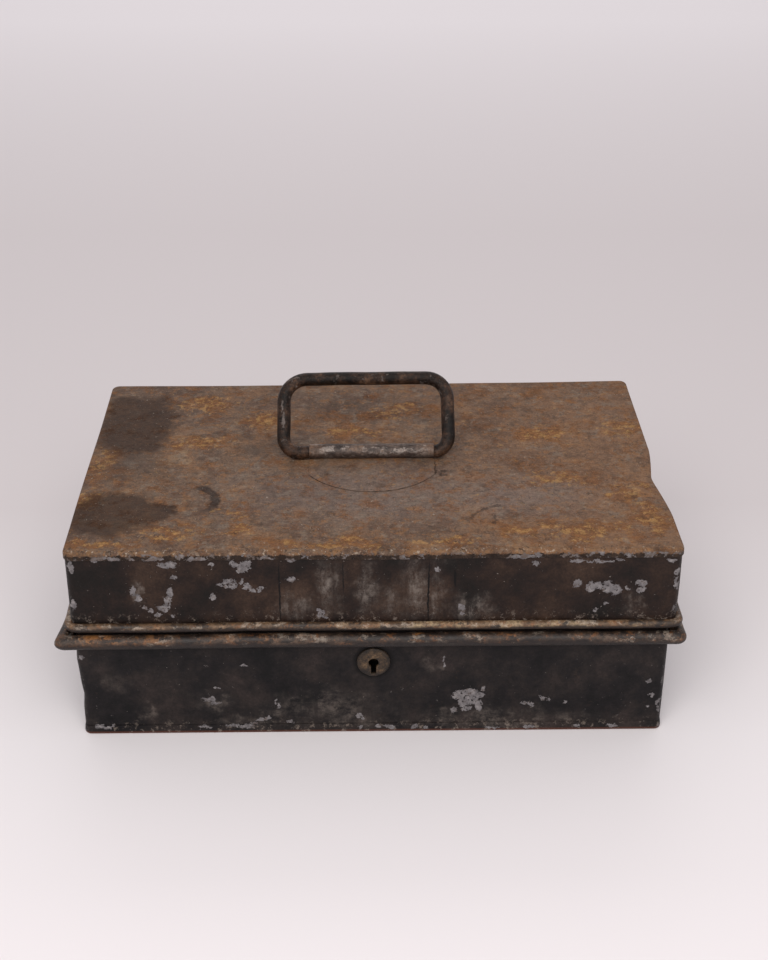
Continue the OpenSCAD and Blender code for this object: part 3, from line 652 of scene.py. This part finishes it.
lid = {"sheet": 0.7 * mm, "halfX": panel["halfX"] - 0.65 * mm, "halfY": panel["halfY"] - 0.65 * mm,
       "corner": 3.5 * mm, "top": panel["top"] - panel["sheet"], "beadRadius": 2.2 * mm,
       "beadOut": 1.4 * mm, "beadZ": span("lid_walls", 2)[0] + 1.8 * mm}


def makeLidWalls():
    t, r, out, z = lid["sheet"], lid["beadRadius"], lid["beadOut"], lid["beadZ"]
    meet = math.degrees(math.acos(-out / r))                      # where the bead leaves the wall
    profile = [(0, lid["top"], 0), (0, z + r * math.sin(math.radians(meet)) + 0.4 * mm, 0)]
    profile += [(o, u, 2) for o, u in arc(out, z, r, meet, -170, 16)]
    profile += [(-t, z + 1.0 * mm, 1), (-t, lid["top"], 1)]
    piece = carryRound("lidWalls", lid, finer(profile, 2.6 * mm), ("lid", "lining", "lidBead"))
    knock(piece, lidDents)
    for vertex in piece.data.vertices:                                 # the bead is wavier than the wall
        near = max(0.0, 1 - abs(vertex.co.z - z) / (3.5 * mm))
        vertex.co += noise.noise_vector(vertex.co / (26 * mm)) * 0.35 * mm * near
    return place(piece, "lid", "lid_walls", "black_japan")


body = {"sheet": 0.7 * mm, "halfX": span("body_walls", 0)[1], "halfY": span("body_walls", 1)[1],
        "corner": 3.0 * mm, "low": span("body_walls", 2)[0], "top": span("body_walls", 2)[1]}
keyhole = {"z": sum(span("escutcheon", 2)) / 2, "radius": 2.6 * mm, "slot": 1.25 * mm, "drop": 6.4 * mm}
bodyDents = [
    {"at": (-body["halfX"], -88 * mm, 23 * mm), "reach": (20 * mm, 45 * mm, 9 * mm),
     "push": (0.9 * mm, 0, 0), "sharp": 1.5},
    {"at": (-body["halfX"], -88 * mm, 45 * mm), "reach": (20 * mm, 45 * mm, 16 * mm),
     "push": (-0.9 * mm, 0, 0), "sharp": 1.5},
    {"at": (60 * mm, -90 * mm, 25 * mm), "reach": (45 * mm, 8 * mm, 22 * mm),
     "push": (0, 0.4 * mm, 0), "sharp": 2}]


def keyholeEdge(angle):
    # how far the keyhole reaches from its middle in that direction
    down = -math.sin(angle)
    if down <= 0:
        return keyhole["radius"]
    side = keyhole["slot"] / max(abs(math.cos(angle)), 1e-6)
    return max(keyhole["radius"], min(side, keyhole["drop"] / down))


def keyholeAngles():
    tip = math.atan2(keyhole["slot"], keyhole["drop"])
    waist = math.acos(keyhole["slot"] / keyhole["radius"])
    turns = (-(math.pi / 2 - waist), -0.32, -tip, 0, tip, 0.32, math.pi / 2 - waist)
    low = [-math.pi / 2 + turn for turn in turns]
    above = [-waist + (math.pi + 2 * waist) * k / 36 for k in range(1, 36)]
    return low + above


def makeBodyWalls():
    t = body["sheet"]
    low, top = body["low"], body["top"]
    profile = [(0, low, 0), (0, top - 0.2 * mm, 0), (-t / 2, top, 0), (-t, top - 0.2 * mm, 1), (-t, low, 1)]
    piece = carryRound("bodyWalls", body, finer(profile, 3 * mm), ("body", "lining"))
    ring = [(keyholeEdge(a) * math.cos(a), keyhole["z"] + keyholeEdge(a) * math.sin(a))
            for a in keyholeAngles()]
    count = len(ring)
    front, back = -body["halfY"] - 2 * mm, -body["halfY"] + 3 * mm
    points = [(x, y, z) for y in (front, back) for x, z in ring]
    cutter = meshPiece("keyholeCutter", points, skin(2, count) + caps(2, count), ("body",))
    hole = piece.modifiers.new("keyhole", "BOOLEAN")
    hole.object, hole.operation, hole.solver = cutter, "DIFFERENCE", "EXACT"
    graph = bpy.context.evaluated_depsgraph_get()
    cut = bpy.data.meshes.new_from_object(piece.evaluated_get(graph))
    piece.modifiers.clear()
    piece.data = cut
    bpy.data.objects.remove(cutter)
    knock(piece, bodyDents)
    cut.set_sharp_from_angle(angle=math.radians(32))
    return place(piece, "box", "body_walls", "black_japan")


rim = {"radius": 3.45 * mm, "sheet": 0.7 * mm, "out": span("rim_bead", 0)[1] - body["halfX"] - 3.45 * mm,
       "z": span("rim_bead", 2)[1] - 3.1 * mm, "stripLow": span("rim_bead", 2)[0], "strip": 0.65 * mm}
rimDents = [
    {"at": (-152 * mm, -97 * mm, rim["z"]), "reach": (24 * mm, 26 * mm, 12 * mm),
     "push": (-3.0 * mm, -1.0 * mm, -0.3 * mm), "sharp": 1.6},
    {"at": (152 * mm, -97 * mm, rim["z"]), "reach": (18 * mm, 20 * mm, 9 * mm),
     "push": (0.6 * mm, -0.5 * mm, 0), "sharp": 1.6}]


def makeRimBead():
    r, out, z, strip = rim["radius"], rim["out"], rim["z"], rim["strip"]
    plan = {"halfX": body["halfX"] + out, "halfY": body["halfY"] + out, "corner": 1.6 * mm}
    foot = strip - out
    start = -180 + math.degrees(math.acos(-foot / r))
    profile = [(foot, rim["stripLow"], 0)] + [(o, u, 0) for o, u in arc(0, z, r, start, 150, 22)]
    profile += [(0.05 * mm - out, z + 1.8 * mm, 0), (0.05 * mm - out, rim["stripLow"], 0)]
    piece = carryRound("rimBead", plan, finer(profile, 2.6 * mm), ("rim",), spacing=2.2 * mm, turns=8)
    knock(piece, rimDents, ((70 * mm, 0.45 * mm), (24 * mm, 0.3 * mm)))
    return place(piece, "box", "rim_bead", "worn_brown_japan")


bottom = {"sheet": 0.6 * mm, "fold": 1.0 * mm, "lip": span("bottom_panel", 2)[1], "corner": 3.65 * mm,
          "halfX": span("bottom_panel", 0)[1], "halfY": span("bottom_panel", 1)[1]}


def makeBottomPanel():
    t, fold, lip = bottom["sheet"], bottom["fold"], bottom["lip"]
    rows = [-bottom["halfY"] + 1 * mm] + [-h * mm for h in (80, 60, 40, 20, 10, 5, 2.4)]
    outside = [(out, 0.0, 0) for out in rows] + [(o, u, 0) for o, u in arc(-fold, fold, fold, -90, 0, 5)]
    outside += [(0, 2.2 * mm, 0), (-0.15 * mm, 3.6 * mm, 0), (-0.45 * mm, lip, 0), (-t, lip, 1)]
    inside = [(o, u, 1) for o, u in arc(-fold, fold, fold - t, 0, -90, 3)]
    inside += [(out, t, 1) for out in reversed(rows)]
    piece = carryRound("bottomPanel", bottom, outside + inside, ("body", "lining"), closed=False)
    knock(piece, [], ())
    return place(piece, "box", "bottom_panel", "black_japan")


swing = next(j for j in frame["joints"] if j["name"] == "handle_swing")
handle = {"pivot": Vector(swing["pos_m"]), "radius": 3.175 * mm, "lean": 39.0, "reachLeft": 38.8 * mm,
          "reachRight": 39.1 * mm, "left": span("carry_handle", 0)[0] + 2.8 * mm,
          "right": span("carry_handle", 0)[1] - 3.175 * mm, "bendLeft": 12.5 * mm, "bendRight": 11.5 * mm,
          "bendLow": 8.0 * mm, "dip": 0.45 * mm, "tip": 8.0 * mm, "shift": 2.6 * mm, "straight": 31.4 * mm,
          "sagging": 34.4 * mm, "free": 32.8 * mm, "stretch": 3 * mm}


def makeHandle():
    half = {-1: handle["left"], 1: handle["right"]}
    lean = math.radians(handle["lean"])
    low = handle["bendLow"]
    lift = {-1: handle["reachLeft"], 1: handle["reachRight"]}
    bend = {-1: handle["bendLeft"], 1: handle["bendRight"]}
    path = []
    for side in (-1, 1):
        x, b, top = half[side], bend[side], lift[side]
        # the rod sags where it leaves the knuckle
        dip = handle["dip"]
        leg = [(side * handle["tip"] - handle["shift"], 0), (side * handle["straight"], 0),
               (side * handle["sagging"], -dip)]
        leg += [(x - side * (low - low * math.sin(a)), (low + dip) * (1 - math.cos(a)) - dip)
                for a in [math.pi / 2 * k / 8 for k in range(9)]]
        leg += [(x, low + (top - b - low) * k / 5) for k in range(1, 5)]
        leg += [(x - side * b * (1 - math.cos(a)), top - b + b * math.sin(a))
                for a in [math.pi / 2 * k / 10 for k in range(11)]]
        path += leg if side < 0 else leg[::-1]
    spine = []
    for a, b in zip(path, path[1:]):
        parts = max(1, math.ceil(math.dist(a, b) / handle["stretch"]))
        spine += [(a[0] + (b[0] - a[0]) * k / parts, a[1] + (b[1] - a[1]) * k / parts)
                  for k in range(parts)]
    spine.append(path[-1])
    around = 20
    up = Vector((0, math.sin(lean), math.cos(lean)))
    aside = Vector((0, math.cos(lean), -math.sin(lean)))
    points = []
    for n, (x, s) in enumerate(spine):
        before, after = spine[max(0, n - 1)], spine[min(len(spine) - 1, n + 1)]
        tangent = (Vector((1, 0, 0)) * (after[0] - before[0]) + up * (after[1] - before[1])).normalized()
        normal = tangent.cross(aside)
        centre = Vector((0, handle["pivot"].y, handle["pivot"].z)) + Vector((x, 0, 0)) + up * s
        # true round where it turns in the knuckle, a little thicker and bent beyond it
        loose = min(1.0, max(0.0, (abs(x) - handle["free"]) / (3 * mm), (s - 3 * mm) / (8 * mm)))
        wobble = noise.noise_vector(centre / (22 * mm)) * 0.35 * mm * loose
        radius = handle["radius"] * (1 + loose * (0.1 + 0.03 * noise.noise(centre / (9 * mm))))
        for k in range(around):
            a = 2 * math.pi * k / around
            points.append(centre + wobble + (normal * math.cos(a) + aside * math.sin(a)) * radius)
    faces = skin(len(spine), around) + caps(len(spine), around)
    piece = meshPiece("carryHandle", points, faces, ("handle",), crease=50)
    return place(piece, "handle", "carry_handle", "handle_black")


plate = {"sheet": 0.8 * mm, "low": panel["top"], "halfX": span("handle_plate", 0)[1],
         "front": span("handle_plate", 1)[0], "arc": 38.0 * mm, "bore": handle["radius"] + 0.08 * mm}


def makeHandlePlate():
    t, low, half, y0 = plate["sheet"], plate["low"], plate["halfX"], handle["pivot"].y
    centre = (y0, handle["pivot"].z)
    inner, outer = plate["bore"], plate["bore"] + 0.5 * mm
    # the knuckle, as a strap rolled nearly all the way round the rod, seen from its end
    roll = arc(*centre, outer, -100, -100 + 352, 40) + arc(*centre, inner, -100 + 352, -100, 34)
    columns = 26
    xs = [-half + 2 * half * k / columns for k in range(columns + 1)]
    points = [(x, y, z) for x in xs for y, z in roll]
    count = len(roll)
    faces = skin(columns + 1, count) + caps(columns + 1, count)
    # the leaf in front of it, soldered flat, with an arched front edge
    start = len(points)
    rows = 14
    for n in range(rows + 1):
        for x in xs:
            edge = plate["front"] + plate["arc"] - math.sqrt(plate["arc"] ** 2 - x * x)
            y = y0 + (edge - y0) * n / rows
            thin = 0.35 * mm if n == rows or abs(x) == half else 0
            rise = 0.25 * mm * noise.noise(Vector((x, y, 0)) / (17 * mm))
            points.append((x, y, low + t - thin + (rise if thin == 0 else 0)))
    wide = columns + 1
    for n in range(rows):
        for k in range(columns):
            a = start + n * wide + k
            faces.append((a, a + 1, a + 1 + wide, a + wide))
    border = [n * wide for n in range(rows + 1)] + [rows * wide + k for k in range(1, wide)]
    border += [n * wide + columns for n in range(rows - 1, -1, -1)]
    foot = len(points)
    points += [(points[start + k][0], points[start + k][1], low) for k in border]
    faces += [(start + border[n], start + border[n + 1], foot + n + 1, foot + n)
              for n in range(len(border) - 1)]
    # the leaf's edge faces take the near-black seam finish: grime and painted shadow along the strap's
    # outline
    coatOf = [0] * (columns * count + 2) + [1] * (rows * columns) + [2] * (len(border) - 1)
    piece = meshPiece("handlePlate", points, faces, ("knuckle", "top", "seam"), coatOf, crease=40)
    return place(piece, "lid", "handle_plate", "worn_brown_japan")


def makeEscutcheon():
    radius, z0, y0 = 8.3 * mm, keyhole["z"], -body["halfY"]
    rows = [(1.0, 0.0), (0.995, -0.35 * mm), (0.96, -0.75 * mm), (0.9, -0.95 * mm), (0.75, -1.2 * mm),
            (0.5, -1.35 * mm), (0.25, -1.42 * mm), (0.06, -1.42 * mm), (0.0, -1.3 * mm), (0.0, 0.0)]
    angles = keyholeAngles()
    points = []
    for share, out in rows:
        for a in angles:
            inner = keyholeEdge(a)
            r = inner + (radius - inner) * share
            points.append((r * math.cos(a), y0 + out - 0.1 * mm, z0 + r * math.sin(a)))
    faces = skin(len(rows), len(angles))
    piece = meshPiece("escutcheonDisc", points, faces, ("brass",), crease=50)
    return place(piece, "box", "escutcheon", "dull_brass")


def makeLockPin():
    (lowX, lowY, lowZ), (highX, highY, highZ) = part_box("drill_pin")
    radius, x0, z0 = (highX - lowX) / 2, (lowX + highX) / 2, (lowZ + highZ) / 2
    # the pin stops well behind the keyhole
    tip = lowY + 3.4 * mm
    rows = [(0.35, tip), (0.75, tip + 0.15 * mm), (1.0, tip + 0.5 * mm), (1.0, highY - 0.6 * mm),
            (0.85, highY)]
    around = 24
    points = [(x0 + radius * share * math.cos(2 * math.pi * k / around), y,
               z0 + radius * share * math.sin(2 * math.pi * k / around))
              for share, y in rows for k in range(around)]
    faces = skin(len(rows), around) + caps(len(rows), around)
    piece = meshPiece("lockPin", points, faces, ("darkSteel",), crease=40)
    return place(piece, "box", "drill_pin", "bare_steel")


calmSpots = [
    ((0, -92 * mm, keyhole["z"]), 22 * mm), ((0, -12 * mm, panel["top"]), 52 * mm),
    ((-88 * mm, 95 * mm, 62 * mm), 34 * mm), ((88 * mm, 95 * mm, 62 * mm), 34 * mm)]
# painted shadow: a near-black ring on the body front round the escutcheon
escutcheonShadow = [(0, keyhole["z"] / mm, 19.5, 19.5)]
finishes = {
    "lid": japannedTinplate("japanned tinplate, lid", ("130f0d", "1e1512", "291d17", "3a2b22"),
                            lidFlakes, lidScuffs, lidDirt, frontOfLid, 0.0, 146.6),
    "body": japannedTinplate("japanned tinplate, body", ("0e0d0e", "171415", "211c1b", "2f2725"),
                             bodyFlakes, bodyScuffs, escutcheonShadow, frontOfBody, 37.0, 145.2),
    "plain": japannedTinplate("japanned tinplate, hinges", ("17110f", "221815", "2c201c", "3d2f28"),
                              seed=81.0),
    "top": rustedLidTop(),
    "lidBead": rubbedBead("rubbed japan, lid bead", lid["beadZ"] / mm, 2.2,
                          ("231a16", "4c3a2a", "624b37", "84705a"), [(60, 66, 150, 6)], "9d8869",
                          0.42, (0.55, 0.59)),
    "rim": rubbedBead("rubbed japan, rim", rim["z"] / mm, 3.45, ("171211", "33271f", "4b3b30", "66564a"),
                      [(-128, 60, 60, 9), (-60, 61, 30, 4), (16, 61, 30, 4)], "805329", 0.3, (0.52, 0.56)),
    "handle": rubbedHandleJapan(),
    "knuckle": rubbedKnuckle(),
    "seam": seamGrimeAndShadow(),
    "brass": tarnishedBrass(),
    "steel": dullSteel("greyed steel", ("4a4643", "5c5855", "736f6b")),
    # near-black tones as painted shade: the lock pin and case read as the dark inside of the keyhole
    "darkSteel": dullSteel("shadeBlackened steel", ("0b0a0a", "121010", "1c1917")),
    "lining": redLacquer(),
}
print("finishes made:", len(finishes))

makers = (makeLidPanel, makeLidWalls, makeRimBead, makeBodyWalls, makeBottomPanel, makeHandle,
          makeHandlePlate, makeEscutcheon, makeLockPin)
pieces = [make() for make in makers]
print("pieces made:", [(p.name, len(p.data.polygons)) for p in pieces])

# the frame's own parts keep their shapes, with softened edges and a real finish
coats = {
    "darkSteel": ["lock_case"],
    "steel": ["rim_wire", "lid_wire", "guide_stud", "bolt_spring", "hinge_pin_left", "hinge_pin_right",
              "lid_staple"],
    "brass": ["lock_ward", "lock_bolt"],
    "plain": ["hinge_body_leaf_left", "hinge_body_leaf_right", "hinge_lid_leaf_left",
              "hinge_lid_leaf_right", "hinge_body_rivets", "hinge_lid_rivets"],
    "lining": ["tray_floor", "tray_walls", "tray_long_divider", "tray_cross_dividers",
               "tray_ledge_left", "tray_ledge_right"],
}
for finishName, names in coats.items():
    for name in names:
        part = frame["nodes"][name]
        part.data.materials.clear()
        part.data.materials.append(finishes[finishName])
        soft = part.modifiers.new("soft edges", "BEVEL")
        soft.width, soft.segments, soft.limit_method = 0.15 * mm, 2, "ANGLE"
        soft.angle_limit, soft.harden_normals = math.radians(40), False

studio = {
    # how far back, tone; lighter in front of the box and darker behind it, as painted light and shade
    "paper": [(-260, "e5e0e2"), (-95, "e3dfe1"), (140, "cdc7c8"), (650, "d0cacb"), (1500, "e6e2e4")],
    "world": "ebe7ea", "worldStrength": 0.72,
    "reach": 40.0,                                                # metres each way
}


def makeFloor():
    finish, tree, point = newFinish("pale studio floor")
    y = add(tree, "SeparateXYZ", {}, {0: point}, "Y")
    # painted light and shade: the floor's tone runs lighter in front of the box and darker behind it
    base = shades(tree, y, studio["paper"])
    feed(tree, tree.nodes["Principled BSDF"], {"Base Color": base, "Roughness": 0.8})
    size = studio["reach"]
    mesh = bpy.data.meshes.new("studioFloor")
    mesh.from_pydata([(-size, -size, 0), (size, -size, 0), (size, size, 0), (-size, size, 0)], [],
                     [(0, 1, 2, 3)])
    mesh.materials.append(finish)
    floor = bpy.data.objects.new("studioFloor", mesh)
    bpy.context.scene.collection.objects.link(floor)


def makeLight(name, at, aim, size, power, tint):
    data = bpy.data.lights.new(name, "AREA")
    data.shape, data.size, data.size_y, data.energy = "RECTANGLE", size[0], size[1], power
    data.color = hexColor(tint)[:3]
    lamp = bpy.data.objects.new(name, data)
    lamp.location = at
    lamp.rotation_euler = (Vector(aim) - Vector(at)).to_track_quat("-Z", "Y").to_euler()
    bpy.context.scene.collection.objects.link(lamp)


makeFloor()
makeLight("keySoftbox", (-0.1, -1.2, 1.3), (0.0, -0.1, 0.0), (1.6, 1.1), 22.5, "fffcf8")
makeLight("farFloorLight", (0.0, 2.3, 1.9), (0.0, 1.9, 0.0), (2.4, 1.2), 14.0, "fffbfa")
world = bpy.data.worlds.new("studio air")
world.use_nodes = True
world.node_tree.nodes["Background"].inputs[0].default_value = hexColor(studio["world"])
world.node_tree.nodes["Background"].inputs[1].default_value = studio["worldStrength"]
bpy.context.scene.world = world
bpy.context.scene.view_settings.view_transform = "Standard"

view = {"place": (-6.59 * mm, -718.25 * mm, 491.97 * mm), "turn": -1.05, "tip": 28.88, "roll": 0.15,
        "lens": 58.33}
camera = bpy.data.cameras.new("viewCamera")
camera.lens, camera.sensor_width = view["lens"], 36.0
eye = bpy.data.objects.new("viewCamera", camera)
eye.matrix_world = (Matrix.Translation(view["place"]) @ Matrix.Rotation(math.radians(view["turn"]), 4, "Z")
                    @ Matrix.Rotation(math.radians(90 - view["tip"]), 4, "X")
                    @ Matrix.Rotation(math.radians(view["roll"]), 4, "Z"))
bpy.context.scene.collection.objects.link(eye)
bpy.context.scene.camera = eye
print("studio set")
